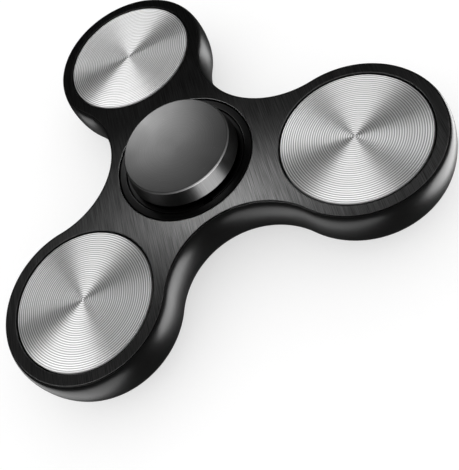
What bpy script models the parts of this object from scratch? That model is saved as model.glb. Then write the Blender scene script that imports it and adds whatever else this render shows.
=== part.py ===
"""Three-lobed fidget spinner: a lobed frame turning on a shielded ball bearing between two finger caps.

Metres, +Z up along the spin axis. The origin is the centre of the lower cap's flat face, on which the
spinner rests. One lobe points along +X.
"""

from math import asin, atan2, cos, degrees, pi, radians, sin, sqrt

import bmesh
import bpy
from mathutils import Matrix, Vector

MM = 0.001

# Frame. All sizes are in millimetres.
BODY_THICKNESS = 7.2
SIDE_BULGE = 0.87  # how far the rounded side stands out past the flat face
WEB = 4.4  # between the bearing's outside and a lobe disc's outside
WAIST_WALL = 1.5  # between the bearing bore and the outline, midway between two lobes
LOBE_RIM = 1.6  # between a disc's recess and the outline
LOBE_COUNT = 3

# Lobe fittings.
DISC_DIAMETER = 22.0
DISC_THICKNESS = 0.8
DISC_CHAMFER = 0.15
DISC_SET_BACK = 0.05  # a disc's face below the frame's face
LEDGE_WIDTH = 1.0  # ring in a lobe that a disc sits on
WEIGHT_CHAMFER = 0.4

# Ball bearing, the 8 x 22 x 7 size.
BEARING_OD = 22.0
BEARING_BORE = 8.0
BEARING_WIDTH = 7.0
BALL_DIAMETER = 3.969
BALL_COUNT = 7
GROOVE_DEPTH = 0.5
RING_CHAMFER = 0.3
SEAT_STEP = 0.8  # from the outer ring's land out to the seat of its shields
SHIELD_THICKNESS = 0.25
SHIELD_GAP = 0.3  # between a shield's bore and the inner ring
SNAP_RING_THICKNESS = 0.3
SNAP_RING_WIDTH = 0.6
SNAP_RING_OPENING = 1.6
CAGE_WALL = 1.5
CAGE_GRIP = 1.0  # how far the cage's fingers reach past the ball centres

# Finger caps.
CAP_DIAMETER = 17.0
CAP_HEIGHT = 3.5  # from the frame's face to the cap's face
CAP_LIFT = 0.7  # from the frame's face to the cap's rim
CAP_CHAMFER = 0.2
CAP_FLARE = 0.6  # how much the rim stands out past the top of the skirt
CAP_RIM_WALL = 0.7
CAP_ROOF = 1.8  # thickness over the hollow inside the rim
HUB_MARGIN = 0.5  # the cap's hub stays this far inside the inner ring's shoulder
LOWER_SPIGOT = 2.4
SPIGOT_SPACE = 0.6  # between the ends of the two caps' spigots, in the bore
STUD_DIAMETER = 5.0
STUD_REACH = 4.4
STUD_CHAMFER = 0.4
SOCKET_SPARE = 0.5  # depth of the socket past the end of the stud

# Clearances.
DISC_GAP = 0.25  # round a disc, and under it
WEIGHT_GAP = 0.25  # round a weight
SEAT_GAP = 0.1  # between pieces that are seated on each other
RUNNING_GAP = 0.1  # between balls and raceways
POCKET_GAP = 0.15  # between the cage and the balls, and the cage and the shields

# Mesh resolution.
ROUND_STEPS = 40
ARC_STEP_DEGREES = 8.0
BALL_SEGMENTS = 12
BALL_RINGS = 8
GROOVE_STEPS = 4
SIDE_RESOLUTION = 2
SHARP_ANGLE = radians(30)
MERGE_DISTANCE = 0.00001

# Radii and heights that follow from the sizes above. Heights are from the bearing's mid-plane.
half_body = BODY_THICKNESS / 2
half_bearing = BEARING_WIDTH / 2
mid_height = CAP_HEIGHT + half_body
lobe_pitch = BEARING_OD / 2 + WEB + DISC_DIAMETER / 2
recess_radius = DISC_DIAMETER / 2 + DISC_GAP
recess_depth = DISC_SET_BACK + DISC_THICKNESS + DISC_GAP
lobe_bore_radius = recess_radius - LEDGE_WIDTH
lobe_radius = recess_radius + LOBE_RIM
bearing_seat_radius = BEARING_OD / 2 + SEAT_GAP
waist = bearing_seat_radius + WAIST_WALL
weight_radius = lobe_bore_radius - WEIGHT_GAP
half_weight = half_body - recess_depth
ball_radius = BALL_DIAMETER / 2
ball_pitch_radius = (BEARING_OD + BEARING_BORE) / 4
groove_radius = ball_radius + RUNNING_GAP
inner_land = ball_pitch_radius - ball_radius + GROOVE_DEPTH
outer_land = ball_pitch_radius + ball_radius - GROOVE_DEPTH
seat_radius = outer_land + SEAT_STEP
snap_ring_low = half_bearing - SEAT_GAP - SNAP_RING_THICKNESS
shield_low = snap_ring_low - SEAT_GAP - SHIELD_THICKNESS
seat_floor = shield_low - SEAT_GAP
spigot_radius = BEARING_BORE / 2 - SEAT_GAP
hub_radius = inner_land - HUB_MARGIN
hub_end = half_bearing + SEAT_GAP
lobe_angles = [2 * pi * k / LOBE_COUNT for k in range(LOBE_COUNT)]


def new_collection(name):
    collection = bpy.data.collections.new(name)
    bpy.context.scene.collection.children.link(collection)
    return collection


for old in list(bpy.data.objects):
    bpy.data.objects.remove(old, do_unlink=True)
parts = new_collection("fidget_spinner")
cutters = new_collection("cutters")
metals = {}


def make_finish(name, colour, roughness, metallic):
    material = bpy.data.materials.new(name)
    material.use_nodes = True
    material.diffuse_color = (*colour, 1.0)
    shader = material.node_tree.nodes["Principled BSDF"]
    shader.inputs["Base Color"].default_value = (*colour, 1.0)
    shader.inputs["Roughness"].default_value = roughness
    shader.inputs["Metallic"].default_value = metallic
    metals[name] = material


def make_finishes():
    make_finish("frame_black", (0.03, 0.03, 0.032), 0.3, 1.0)
    make_finish("disc_silver", (0.72, 0.72, 0.73), 0.3, 1.0)
    make_finish("weight_steel", (0.55, 0.55, 0.56), 0.35, 1.0)
    make_finish("cap_black", (0.05, 0.05, 0.052), 0.35, 1.0)
    make_finish("ring_black", (0.02, 0.02, 0.021), 0.25, 1.0)
    make_finish("ball_steel", (0.8, 0.8, 0.81), 0.08, 1.0)
    make_finish("shield_black", (0.025, 0.025, 0.025), 0.4, 1.0)
    make_finish("spring_steel", (0.3, 0.3, 0.31), 0.3, 1.0)
    make_finish("cage_nylon", (0.06, 0.06, 0.06), 0.5, 0.0)


def place(name, mesh, place_xy=(0.0, 0.0), finish=None):
    """An object at the bearing's mid-height: a piece with a finish, or else a cutter."""
    obj = bpy.data.objects.new(name, mesh)
    obj.location = (place_xy[0] * MM, place_xy[1] * MM, mid_height * MM)
    if finish:
        parts.objects.link(obj)
        mesh.materials.clear()
        mesh.materials.append(metals[finish])
    else:
        cutters.objects.link(obj)
        obj.hide_render = True
        obj.display_type = "WIRE"
    return obj


def section_mesh(name, section, closed):
    """The edges of a turned piece's section, from (radius, height) points."""
    mesh = bpy.data.meshes.new(name)
    edges = [(i, i + 1) for i in range(len(section) - 1)]
    if closed:
        edges.append((len(section) - 1, 0))
    mesh.from_pydata([(r * MM, 0.0, z * MM) for r, z in section], edges, [])
    return mesh


def turned(name, section, place_xy=(0.0, 0.0), closed=False, finish=None):
    """A turned piece. Its section runs top to bottom down the outer side."""
    obj = place(name, section_mesh(name, section, closed), place_xy, finish)
    screw = obj.modifiers.new("turned", "SCREW")
    screw.axis = "Z"
    screw.angle = 2 * pi
    screw.steps = ROUND_STEPS
    screw.render_steps = ROUND_STEPS
    screw.use_merge_vertices = True
    screw.merge_threshold = MERGE_DISTANCE
    mesh = bpy.data.meshes.new_from_object(evaluated(obj))
    mesh.name = name
    obj.modifiers.clear()
    obj.data = mesh
    smooth(mesh)
    return obj


def evaluated(obj):
    bpy.context.view_layer.update()
    return obj.evaluated_get(bpy.context.evaluated_depsgraph_get())


def smooth(mesh):
    mesh.shade_smooth()
    mesh.set_sharp_from_angle(angle=SHARP_ANGLE)


def cut(obj, cutter):
    boolean = obj.modifiers.new(cutter.name, "BOOLEAN")
    boolean.operation = "DIFFERENCE"
    boolean.solver = "EXACT"
    boolean.object = cutter


def upside_down(section):
    """The same section for the other side of the mid-plane, still running top to bottom."""
    return [(r, -z) for r, z in reversed(section)]


def on_circle(centre, radius, angle):
    return (centre[0] + radius * cos(angle), centre[1] + radius * sin(angle))


def arc(centre, radius, start, end):
    """Points from one angle to the next, without the last one."""
    count = max(2, round(abs(degrees(end - start)) / ARC_STEP_DEGREES))
    return [on_circle(centre, radius, start + (end - start) * i / count) for i in range(count)]


def outline():
    """Lobe arcs joined by tangent waist arcs, as the flat face has them."""
    step = lobe_radius - waist
    waist_centre = (lobe_pitch**2 - step**2) / (lobe_pitch + 2 * step)
    waist_radius = waist_centre - waist
    half_turn = pi / LOBE_COUNT
    centre = on_circle((0.0, 0.0), waist_centre, half_turn)
    tangent = atan2(centre[1], centre[0] - lobe_pitch)
    points = []
    for turn in lobe_angles:
        lobe = on_circle((0.0, 0.0), lobe_pitch, turn)
        hollow = on_circle((0.0, 0.0), waist_centre, turn + half_turn)
        points += arc(lobe, lobe_radius, turn - tangent, turn + tangent)
        start = turn + tangent + pi
        points += arc(hollow, waist_radius, start, start - 2 * (tangent - half_turn))
    return points


def make_body():
    """The outline with a round edge, stretched in height until its edge is the full bulged side."""
    points = outline()
    curve = bpy.data.curves.new("outline", "CURVE")
    curve.dimensions = "2D"
    curve.fill_mode = "BOTH"
    curve.bevel_depth = SIDE_BULGE * MM
    curve.bevel_resolution = SIDE_RESOLUTION
    spline = curve.splines.new("POLY")
    spline.points.add(len(points) - 1)
    for point, (x, y) in zip(spline.points, points):
        point.co = (x * MM, y * MM, 0.0, 1.0)
    spline.use_cyclic_u = True
    guide = place("outline_guide", curve)
    mesh = bpy.data.meshes.new_from_object(evaluated(guide))
    mesh.name = "spinner_body"
    bpy.data.objects.remove(guide)
    mesh.transform(Matrix.Diagonal((1.0, 1.0, half_body / SIDE_BULGE, 1.0)))
    shape = bmesh.new()
    shape.from_mesh(mesh)
    bmesh.ops.remove_doubles(shape, verts=shape.verts, dist=MERGE_DISTANCE)
    shape.to_mesh(mesh)
    shape.free()
    smooth(mesh)
    body = place("spinner_body", mesh, finish="frame_black")

    past = half_body + 1.0
    ledge = half_body - recess_depth
    bore = [(0.0, past), (bearing_seat_radius, past), (bearing_seat_radius, -past), (0.0, -past)]
    cut(body, turned("bearing_bore", bore))
    spool = [
        (0.0, past),
        (recess_radius, past),
        (recess_radius, ledge),
        (lobe_bore_radius, ledge),
        (lobe_bore_radius, -ledge),
        (recess_radius, -ledge),
        (recess_radius, -past),
        (0.0, -past),
    ]
    for k, turn in enumerate(lobe_angles, 1):
        cut(body, turned(f"lobe_bore_{k}", spool, on_circle((0.0, 0.0), lobe_pitch, turn)))


def make_lobe_fittings():
    """A steel weight in each lobe, between two thin spun discs."""
    chamfer = WEIGHT_CHAMFER
    weight = [
        (0.0, half_weight),
        (weight_radius - chamfer, half_weight),
        (weight_radius, half_weight - chamfer),
        (weight_radius, chamfer - half_weight),
        (weight_radius - chamfer, -half_weight),
        (0.0, -half_weight),
    ]
    face = half_body - DISC_SET_BACK
    radius = DISC_DIAMETER / 2
    disc = [
        (0.0, face),
        (radius - DISC_CHAMFER, face),
        (radius, face - DISC_CHAMFER),
        (radius, face - DISC_THICKNESS),
        (0.0, face - DISC_THICKNESS),
    ]
    for k, turn in enumerate(lobe_angles, 1):
        lobe = on_circle((0.0, 0.0), lobe_pitch, turn)
        turned(f"lobe_weight_{k}", weight, lobe, finish="weight_steel")
        turned(f"upper_disc_{k}", disc, lobe, finish="disc_silver")
        turned(f"lower_disc_{k}", upside_down(disc), lobe, finish="disc_silver")


def raceway(land, side):
    """Groove points from the upper edge to the lower one; side is 1 on the outer ring, -1 on the inner."""
    reach = side * (land - ball_pitch_radius)
    half_angle = asin(sqrt(groove_radius**2 - reach**2) / groove_radius)
    angles = [half_angle * (1 - 2 * i / GROOVE_STEPS) for i in range(GROOVE_STEPS + 1)]
    return [(ball_pitch_radius + side * groove_radius * cos(a), groove_radius * sin(a)) for a in angles]


def make_rings():
    outside = BEARING_OD / 2
    chamfer = RING_CHAMFER
    outer = [
        (outside - chamfer, half_bearing),
        (outside, half_bearing - chamfer),
        (outside, chamfer - half_bearing),
        (outside - chamfer, -half_bearing),
        (seat_radius, -half_bearing),
        (seat_radius, -seat_floor),
        (outer_land, -seat_floor),
        *reversed(raceway(outer_land, 1)),
        (outer_land, seat_floor),
        (seat_radius, seat_floor),
        (seat_radius, half_bearing),
    ]
    turned("bearing_outer_ring", outer, closed=True, finish="ring_black")
    bore = BEARING_BORE / 2
    inner = [
        (inner_land, half_bearing),
        *raceway(inner_land, -1),
        (inner_land, -half_bearing),
        (bore + chamfer, -half_bearing),
        (bore, chamfer - half_bearing),
        (bore, half_bearing - chamfer),
        (bore + chamfer, half_bearing),
    ]
    turned("bearing_inner_ring", inner, closed=True, finish="ring_black")


def ring_section(inside, outside, low, thickness):
    high = low + thickness
    return [(outside, high), (outside, low), (inside, low), (inside, high)]


def make_shields():
    """A thin plate over each side of the balls, held by an open spring ring."""
    outside = seat_radius - SEAT_GAP
    shield = ring_section(inner_land + SHIELD_GAP, outside, shield_low, SHIELD_THICKNESS)
    snap = ring_section(outside - SNAP_RING_WIDTH, outside, snap_ring_low, SNAP_RING_THICKNESS)
    turned("upper_shield", shield, closed=True, finish="shield_black")
    turned("lower_shield", upside_down(shield), closed=True, finish="shield_black")
    upper = turned("upper_snap_ring", snap, closed=True, finish="spring_steel")
    lower = turned("lower_snap_ring", upside_down(snap), closed=True, finish="spring_steel")

    box = bpy.data.meshes.new("snap_ring_gap")
    shape = bmesh.new()
    bmesh.ops.create_cube(shape, size=1.0)
    size = Vector((3 * SNAP_RING_WIDTH, SNAP_RING_OPENING, 2 * BEARING_WIDTH)) * MM
    bmesh.ops.scale(shape, vec=size, verts=shape.verts)
    shape.to_mesh(box)
    shape.free()
    gap = place("snap_ring_gap", box, (-outside + SNAP_RING_WIDTH / 2, 0.0))
    cut(upper, gap)
    cut(lower, gap)


def ball_mesh(name, radius):
    mesh = bpy.data.meshes.new(name)
    shape = bmesh.new()
    bmesh.ops.create_uvsphere(shape, u_segments=BALL_SEGMENTS, v_segments=BALL_RINGS, radius=radius * MM)
    shape.to_mesh(mesh)
    shape.free()
    mesh.shade_smooth()
    return mesh


def make_balls_and_cage():
    """Balls evenly round the raceway, each in a pocket of a one-piece crown cage."""
    low = POCKET_GAP - shield_low
    inside = ball_pitch_radius - CAGE_WALL / 2
    crown = ring_section(inside, inside + CAGE_WALL, low, CAGE_GRIP - low)
    cage = turned("ball_cage", crown, closed=True, finish="cage_nylon")
    ball = ball_mesh("ball", ball_radius)
    pocket = ball_mesh("pocket", ball_radius + POCKET_GAP)
    for k in range(BALL_COUNT):
        seat = on_circle((0.0, 0.0), ball_pitch_radius, 2 * pi * k / BALL_COUNT)
        place(f"ball_{k + 1}", ball, seat, finish="ball_steel")
        cut(cage, place(f"ball_pocket_{k + 1}", pocket, seat))


def cap_skirt(face):
    """The outside of a cap, from the middle of its face to its hub, upper cap."""
    rim = half_body + CAP_LIFT
    radius = CAP_DIAMETER / 2
    roof = face - CAP_ROOF
    return [
        (0.0, face),
        (radius - CAP_CHAMFER, face),
        (radius, face - CAP_CHAMFER),
        (radius + CAP_FLARE, rim),
        (radius + CAP_FLARE - CAP_RIM_WALL, rim),
        (radius - CAP_RIM_WALL, roof),
        (hub_radius, roof),
        (hub_radius, hub_end),
        (spigot_radius, hub_end),
    ]


def make_caps():
    """Two caps that clamp the inner ring: the lower one's stud screws into the upper one's socket."""
    stud = STUD_DIAMETER / 2
    socket = stud + SEAT_GAP
    skirt = cap_skirt(half_body + CAP_HEIGHT)
    lower_end = half_bearing - LOWER_SPIGOT
    upper_end = SPIGOT_SPACE - lower_end
    stud_end = lower_end - STUD_REACH
    socket_end = -stud_end + SOCKET_SPARE
    upper = skirt + [(spigot_radius, upper_end), (socket, upper_end), (socket, socket_end), (0.0, socket_end)]
    lower = skirt + [
        (spigot_radius, lower_end),
        (stud, lower_end),
        (stud, stud_end + STUD_CHAMFER),
        (stud - STUD_CHAMFER, stud_end),
        (0.0, stud_end),
    ]
    turned("upper_cap", upper, finish="cap_black")
    turned("lower_cap", upside_down(lower), finish="cap_black")


make_finishes()
make_body()
make_lobe_fittings()
make_rings()
make_shields()
make_balls_and_cage()
make_caps()
bpy.context.view_layer.update()
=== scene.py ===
import math

import bmesh
import bpy
from mathutils import Matrix, Vector


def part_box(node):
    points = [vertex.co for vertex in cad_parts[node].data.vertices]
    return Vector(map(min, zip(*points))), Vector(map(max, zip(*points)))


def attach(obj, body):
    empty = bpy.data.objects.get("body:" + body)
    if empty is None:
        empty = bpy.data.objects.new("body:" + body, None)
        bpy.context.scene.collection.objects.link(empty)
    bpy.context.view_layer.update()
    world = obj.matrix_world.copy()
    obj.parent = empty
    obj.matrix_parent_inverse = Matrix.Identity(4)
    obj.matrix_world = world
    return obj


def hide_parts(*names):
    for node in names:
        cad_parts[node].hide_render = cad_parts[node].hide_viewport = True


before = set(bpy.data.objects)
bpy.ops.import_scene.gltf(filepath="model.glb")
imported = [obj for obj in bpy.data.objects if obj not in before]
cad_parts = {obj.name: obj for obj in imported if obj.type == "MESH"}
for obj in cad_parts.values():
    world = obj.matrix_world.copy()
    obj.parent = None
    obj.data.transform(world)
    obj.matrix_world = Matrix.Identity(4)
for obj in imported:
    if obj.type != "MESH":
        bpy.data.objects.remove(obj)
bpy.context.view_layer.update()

mm = 0.001


print("frame loaded:", len(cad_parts), "nodes")


# View

view = {
    "location": (-70.449, -6.338, 92.118),
    "turn": (28.2025, 19.0324, -115.0670),
    "lens": 53.07,
    "sensor": 36.0,
}

cameraData = bpy.data.cameras.new("productCamera")
cameraData.lens = view["lens"]
cameraData.sensor_width = view["sensor"]
cameraData.clip_start = 0.005
cameraData.clip_end = 20.0
camera = bpy.data.objects.new("productCamera", cameraData)
camera.location = [value * mm for value in view["location"]]
camera.rotation_euler = [math.radians(value) for value in view["turn"]]
bpy.context.scene.collection.objects.link(camera)
bpy.context.scene.camera = camera
bpy.context.scene.view_settings.view_transform = "Standard"
print("camera placed")


# Sizes that the pieces share, in millimetres, measured from the frame's nodes where they can be

def sizeOf(node):
    low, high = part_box(node)
    return [(high[axis] - low[axis]) / mm for axis in range(3)]


def middleOf(node):
    low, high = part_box(node)
    return [(high[axis] + low[axis]) / 2 / mm for axis in range(3)]


def heightsOf(node):
    low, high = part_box(node)
    return low.z / mm, high.z / mm


sizes = {
    "midHeight": middleOf("bearing_outer_ring")[2],
    "bodyThickness": sizeOf("spinner_body")[2],
    "sideBulge": 0.87,
    "lobePitch": middleOf("upper_disc_1")[0],
    "lobeRadius": 12.85,
    "waist": 12.6,
    "discRadius": sizeOf("upper_disc_1")[0] / 2,
    "discThickness": sizeOf("upper_disc_1")[2],
    "discGap": 0.25,
    "recessDepth": 1.1,
    "ledgeWidth": 1.0,
    "bearingSeatRadius": 11.1,
    "seatGap": 0.1,  # between pieces that are seated on each other
    "lobeCount": 3,
}
lobeTurns = [2 * math.pi * number / sizes["lobeCount"] for number in range(sizes["lobeCount"])]


def lobeCentre(turn):
    return (sizes["lobePitch"] * math.cos(turn), sizes["lobePitch"] * math.sin(turn))


# Node helpers

def newNode(tree, kind, **settings):
    node = tree.nodes.new(kind)
    for label, value in settings.items():
        setattr(node, label, value)
    return node


def feed(tree, target, *values):
    for number, value in enumerate(values):
        if value is None:
            continue
        if isinstance(value, bpy.types.NodeSocket):
            tree.links.new(value, target.inputs[number])
        else:
            target.inputs[number].default_value = value


def maths(tree, operation, *values, clamp=False):
    node = newNode(tree, "ShaderNodeMath", operation=operation, use_clamp=clamp)
    feed(tree, node, *values)
    return node.outputs[0]


def remap(tree, value, fromLow, fromHigh, toLow, toHigh):
    node = newNode(tree, "ShaderNodeMapRange")
    feed(tree, node, value, fromLow, fromHigh, toLow, toHigh)
    return node.outputs[0]


def newGroup(name, kind, inputs, outputs):
    tree = bpy.data.node_groups.new(name, kind)
    for label, socketKind, default in inputs:
        socket = tree.interface.new_socket(label, in_out="INPUT", socket_type=socketKind)
        if default is not None:
            socket.default_value = default
    for label, socketKind in outputs:
        tree.interface.new_socket(label, in_out="OUTPUT", socket_type=socketKind)
    return tree, tree.nodes.new("NodeGroupInput").outputs, tree.nodes.new("NodeGroupOutput").inputs


# Shared surface effects, as shader groups that put out masks and heights

def makeStraightBrushing():
    tree, given, result = newGroup(
        "straightBrushing",
        "ShaderNodeTree",
        [
            ("Vector", "NodeSocketVector", None),
            ("Turn", "NodeSocketFloat", 0.0),
            ("Line Length", "NodeSocketFloat", 0.008),
            ("Line Width", "NodeSocketFloat", 0.00012),
        ],
        [("Streaks", "NodeSocketFloat"), ("Height", "NodeSocketFloat")],
    )
    turn = newNode(tree, "ShaderNodeVectorRotate", rotation_type="Z_AXIS")
    tree.links.new(given["Vector"], turn.inputs["Vector"])
    tree.links.new(maths(tree, "MULTIPLY", given["Turn"], -1.0), turn.inputs["Angle"])
    found = []
    for lengthShare, widthShare, seed in ((1.0, 1.0, 0.0), (2.5, 3.6, 7.3)):
        along = maths(tree, "DIVIDE", 1.0 / lengthShare, given["Line Length"])
        across = maths(tree, "DIVIDE", 1.0 / widthShare, given["Line Width"])
        stretch = newNode(tree, "ShaderNodeCombineXYZ")
        feed(tree, stretch, along, across, 1.0)
        scaled = newNode(tree, "ShaderNodeVectorMath", operation="MULTIPLY")
        feed(tree, scaled, turn.outputs[0], stretch.outputs[0])
        noise = newNode(tree, "ShaderNodeTexNoise", noise_dimensions="4D")
        noise.inputs["Scale"].default_value = 1.0
        noise.inputs["Detail"].default_value = 3.0
        noise.inputs["Roughness"].default_value = 0.62
        noise.inputs["W"].default_value = seed
        tree.links.new(scaled.outputs[0], noise.inputs["Vector"])
        found.append(noise.outputs["Fac"])
    fine, broad = found
    fineShare = maths(tree, "MULTIPLY", fine, 0.85)
    mixed = maths(tree, "ADD", fineShare, maths(tree, "MULTIPLY", broad, 0.15))
    tree.links.new(remap(tree, mixed, 0.34, 0.66, 0.0, 1.0), result["Streaks"])
    tree.links.new(fine, result["Height"])
    return tree


def makeTurnedLines():
    tree, given, result = newGroup(
        "turnedLines",
        "ShaderNodeTree",
        [
            ("Vector", "NodeSocketVector", None),
            ("Pitch", "NodeSocketFloat", 0.0001),
            ("Wander", "NodeSocketFloat", 0.00003),
        ],
        [("Lines", "NodeSocketFloat"), ("Height", "NodeSocketFloat"), ("Radius", "NodeSocketFloat")],
    )
    flat = newNode(tree, "ShaderNodeVectorMath", operation="MULTIPLY")
    tree.links.new(given["Vector"], flat.inputs[0])
    flat.inputs[1].default_value = (1.0, 1.0, 0.0)
    length = newNode(tree, "ShaderNodeVectorMath", operation="LENGTH")
    tree.links.new(flat.outputs[0], length.inputs[0])
    radius = length.outputs["Value"]
    drift = newNode(tree, "ShaderNodeTexNoise")
    drift.inputs["Scale"].default_value = 220.0
    tree.links.new(flat.outputs[0], drift.inputs["Vector"])
    shift = maths(tree, "MULTIPLY", maths(tree, "SUBTRACT", drift.outputs["Fac"], 0.5), given["Wander"])
    count = maths(tree, "DIVIDE", maths(tree, "ADD", radius, shift), given["Pitch"])
    lines = newNode(tree, "ShaderNodeTexNoise", noise_dimensions="1D")
    lines.inputs["Scale"].default_value = 1.0
    lines.inputs["Detail"].default_value = 2.0
    tree.links.new(count, lines.inputs["W"])
    tree.links.new(remap(tree, lines.outputs["Fac"], 0.36, 0.64, 0.0, 1.0), result["Lines"])
    tree.links.new(lines.outputs["Fac"], result["Height"])
    tree.links.new(radius, result["Radius"])
    return tree


def makeEdgeWear():
    tree, given, result = newGroup(
        "edgeWear",
        "ShaderNodeTree",
        [
            ("Vector", "NodeSocketVector", None),
            ("Edge", "NodeSocketFloat", 0.0),
            ("Amount", "NodeSocketFloat", 0.5),
        ],
        [("Worn", "NodeSocketFloat")],
    )
    patches = newNode(tree, "ShaderNodeTexNoise")
    patches.inputs["Scale"].default_value = 420.0
    patches.inputs["Detail"].default_value = 5.0
    tree.links.new(given["Vector"], patches.inputs["Vector"])
    near = maths(tree, "POWER", given["Edge"], 1.6)
    level = maths(tree, "ADD", near, maths(tree, "SUBTRACT", patches.outputs["Fac"], 0.5))
    worn = remap(tree, level, 0.55, 1.05, 0.0, 1.0)
    tree.links.new(maths(tree, "MULTIPLY", worn, given["Amount"], clamp=True), result["Worn"])
    return tree


def makeHandling():
    tree, given, result = newGroup(
        "handlingMarks",
        "ShaderNodeTree",
        [
            ("Vector", "NodeSocketVector", None),
            ("Smudge Size", "NodeSocketFloat", 0.009),
            ("Grain Size", "NodeSocketFloat", 0.00012),
        ],
        [("Smudge", "NodeSocketFloat"), ("Grain", "NodeSocketFloat"), ("Specks", "NodeSocketFloat")],
    )
    smudge = newNode(tree, "ShaderNodeTexNoise")
    smudge.inputs["Detail"].default_value = 4.0
    smudge.inputs["Distortion"].default_value = 0.8
    tree.links.new(given["Vector"], smudge.inputs["Vector"])
    tree.links.new(maths(tree, "DIVIDE", 1.0, given["Smudge Size"]), smudge.inputs["Scale"])
    grain = newNode(tree, "ShaderNodeTexNoise")
    grain.inputs["Detail"].default_value = 2.0
    tree.links.new(given["Vector"], grain.inputs["Vector"])
    tree.links.new(maths(tree, "DIVIDE", 1.0, given["Grain Size"]), grain.inputs["Scale"])
    specks = newNode(tree, "ShaderNodeTexVoronoi", feature="F1")
    tree.links.new(given["Vector"], specks.inputs["Vector"])
    specks.inputs["Scale"].default_value = 900.0
    tree.links.new(remap(tree, smudge.outputs["Fac"], 0.35, 0.7, 0.0, 1.0), result["Smudge"])
    tree.links.new(grain.outputs["Fac"], result["Grain"])
    tree.links.new(remap(tree, specks.outputs["Distance"], 0.09, 0.03, 0.0, 1.0), result["Specks"])
    return tree


effects = {
    "brushing": makeStraightBrushing(),
    "turned": makeTurnedLines(),
    "wear": makeEdgeWear(),
    "handling": makeHandling(),
}
print("surface effects ready:", ", ".join(sorted(effects)))


# Materials

class Finish:
    def __init__(self, name, constants):
        self.material = bpy.data.materials.new(name)
        self.material.use_nodes = True
        self.tree = self.material.node_tree
        self.tree.nodes.clear()
        self.shader = newNode(self.tree, "ShaderNodeBsdfPrincipled")
        output = newNode(self.tree, "ShaderNodeOutputMaterial")
        self.tree.links.new(self.shader.outputs[0], output.inputs[0])
        for label, value in constants.items():
            self.shader.inputs[label].default_value = value
        self.coords = newNode(self.tree, "ShaderNodeTexCoord").outputs["Object"]

    def effect(self, kind, vector=None, **values):
        node = newNode(self.tree, "ShaderNodeGroup")
        node.node_tree = effects[kind]
        self.tree.links.new(vector or self.coords, node.inputs["Vector"])
        for label, value in values.items():
            socket = node.inputs[label.replace("_", " ")]
            if isinstance(value, bpy.types.NodeSocket):
                self.tree.links.new(value, socket)
            else:
                socket.default_value = value
        return node.outputs

    def attribute(self, name):
        return newNode(self.tree, "ShaderNodeAttribute", attribute_name=name).outputs["Fac"]

    def centred(self, centre):
        mapping = newNode(self.tree, "ShaderNodeMapping")
        mapping.inputs["Location"].default_value = [-value * mm for value in centre]
        self.tree.links.new(self.coords, mapping.inputs["Vector"])
        return mapping.outputs[0]

    def blend(self, mask, first, second):
        node = newNode(self.tree, "ShaderNodeMix", data_type="RGBA")
        self.tree.links.new(mask, node.inputs["Factor"])
        for socket, value in ((node.inputs[6], first), (node.inputs[7], second)):
            if isinstance(value, bpy.types.NodeSocket):
                self.tree.links.new(value, socket)
            else:
                socket.default_value = (*value, 1.0)
        return node.outputs[2]

    def bump(self, height, distance, strength=1.0, normal=None):
        node = newNode(self.tree, "ShaderNodeBump")
        node.inputs["Strength"].default_value = strength
        node.inputs["Distance"].default_value = distance
        self.tree.links.new(height, node.inputs["Height"])
        if normal is not None:
            self.tree.links.new(normal, node.inputs["Normal"])
        return node.outputs[0]

    def smudged(self, smudge, roughness, rise):
        return remap(self.tree, smudge, 0.0, 1.0, roughness, roughness + rise)

    def tangent(self, **settings):
        node = newNode(self.tree, "ShaderNodeTangent", **settings)
        self.tree.links.new(node.outputs[0], self.shader.inputs["Tangent"])

    def set(self, label, value):
        self.tree.links.new(value, self.shader.inputs[label])


def grey(level):
    return (level, level, level)


brushedFace = {
    "light": 0.13,
    "dark": 0.035,
    "roughness": 0.37,
    "anisotropy": 0.7,
    "lineTurn": -11.0,
    "lineLength": 0.0055,
    "lineWidth": 0.0001,
    "lineDepth": 0.0000022,
    "wear": 0.25,
    "bare": 0.5,
    "mapScale": 20,
    "mapRise": 5,
}


def makeBrushedFace():
    finish = Finish("brushedBlackFace", {"Metallic": 1.0, "Anisotropic": brushedFace["anisotropy"]})
    lines = finish.effect(
        "brushing",
        Turn=math.radians(brushedFace["lineTurn"]),
        Line_Length=brushedFace["lineLength"],
        Line_Width=brushedFace["lineWidth"],
    )
    marks = finish.effect("handling")
    worn = finish.effect("wear", Edge=finish.attribute("edge"), Amount=brushedFace["wear"])["Worn"]
    metal = finish.blend(lines["Streaks"], grey(brushedFace["dark"]), grey(brushedFace["light"]))
    finish.set("Base Color", finish.blend(worn, metal, grey(brushedFace["bare"])))
    finish.set("Roughness", finish.smudged(marks["Smudge"], brushedFace["roughness"], 0.05))
    finish.tangent(direction_type="UV_MAP", uv_map="brush")
    finish.set("Normal", finish.bump(lines["Height"], brushedFace["lineDepth"]))
    return finish.material


glossSide = {
    "base": 0.0025,
    "glint": 0.02,
    "roughness": 0.28,
    "index": 1.6,
    "grainDepth": 0.0000006,
    "wear": 0.35,
    "specks": 0.12,
}


def makeGlossSide():
    finish = Finish("polishedBlackSide", {"Metallic": 0.0, "IOR": glossSide["index"]})
    marks = finish.effect("handling", Smudge_Size=0.012)
    worn = finish.effect("wear", Edge=finish.attribute("edge"), Amount=glossSide["wear"])["Worn"]
    finish.set("Base Color", finish.blend(worn, grey(glossSide["base"]), grey(glossSide["glint"])))
    smudged = finish.smudged(marks["Smudge"], glossSide["roughness"], 0.06)
    specks = maths(finish.tree, "MULTIPLY", marks["Specks"], glossSide["specks"])
    finish.set("Roughness", maths(finish.tree, "ADD", smudged, specks))
    finish.set("Normal", finish.bump(marks["Grain"], glossSide["grainDepth"]))
    return finish.material


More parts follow.
